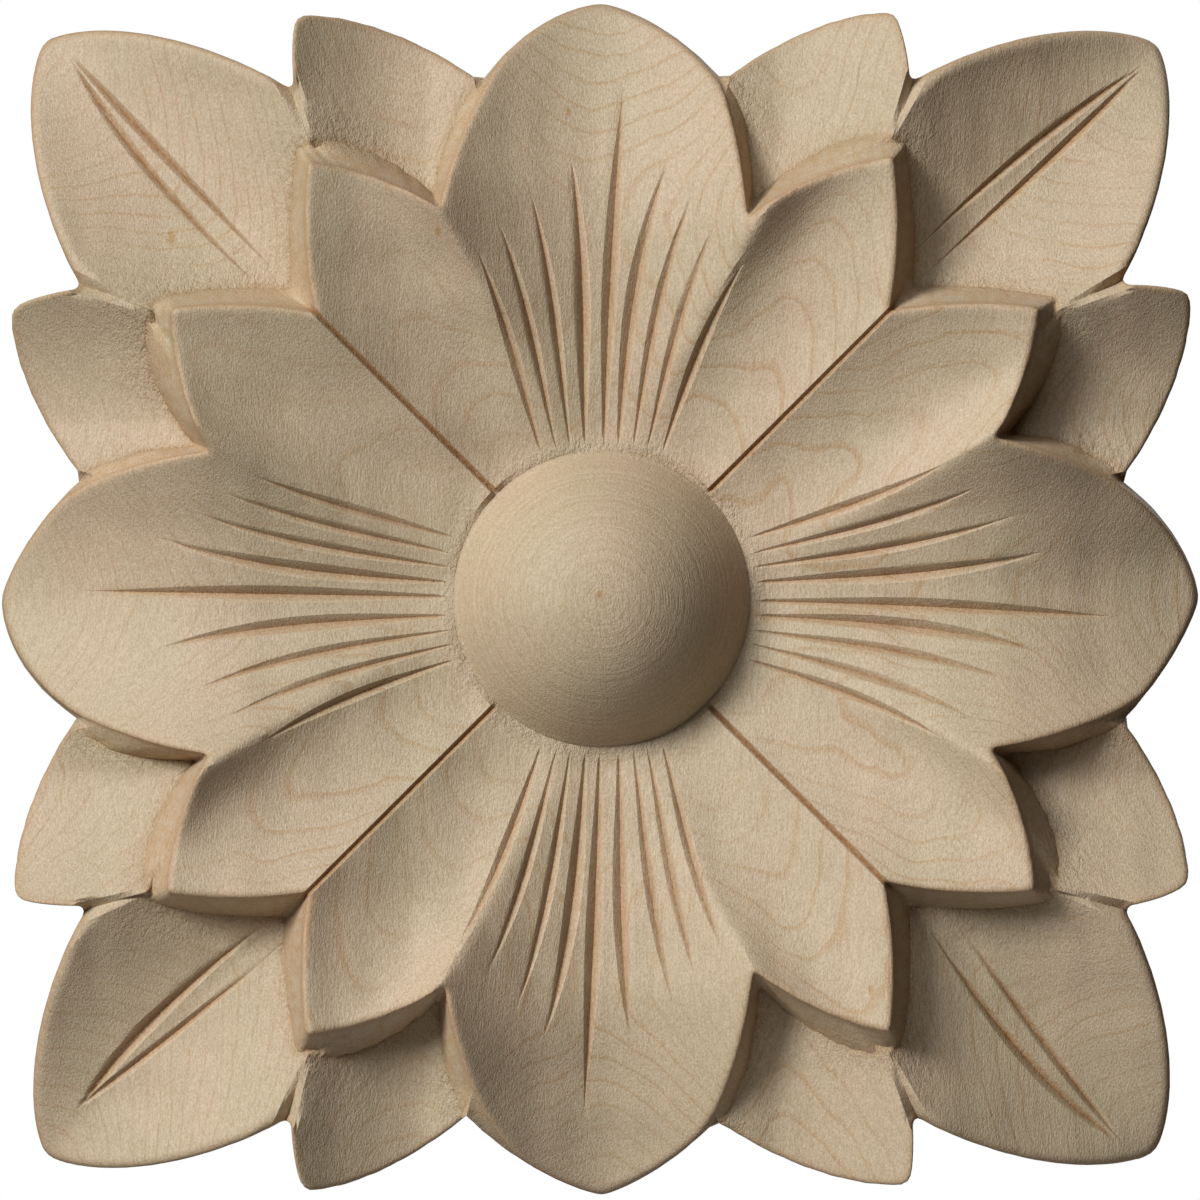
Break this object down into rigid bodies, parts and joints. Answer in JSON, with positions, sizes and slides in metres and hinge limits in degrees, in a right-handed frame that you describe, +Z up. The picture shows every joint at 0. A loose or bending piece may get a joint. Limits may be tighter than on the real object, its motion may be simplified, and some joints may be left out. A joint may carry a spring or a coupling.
{
  "type": "carved wooden rosette",
  "caption": "Square carved wood rosette: a fluted flower round a plain domed boss over hollow leaves, flat at the back, for fixing to a flat surface.",
  "frame": {"origin": "middle of the flat back, behind the boss", "axes": "+Y out of the back into the surface it is fixed to, the carving faces -Y, +Z up, +X to the right as seen from the front"},
  "size_m": [0.1529, 0.0286, 0.152],
  "materials": {
    "maple": "bare sanded maple, unfinished"
  },
  "bodies": {
    "root": {"rosette": "maple"}
  },
  "joints": []
}
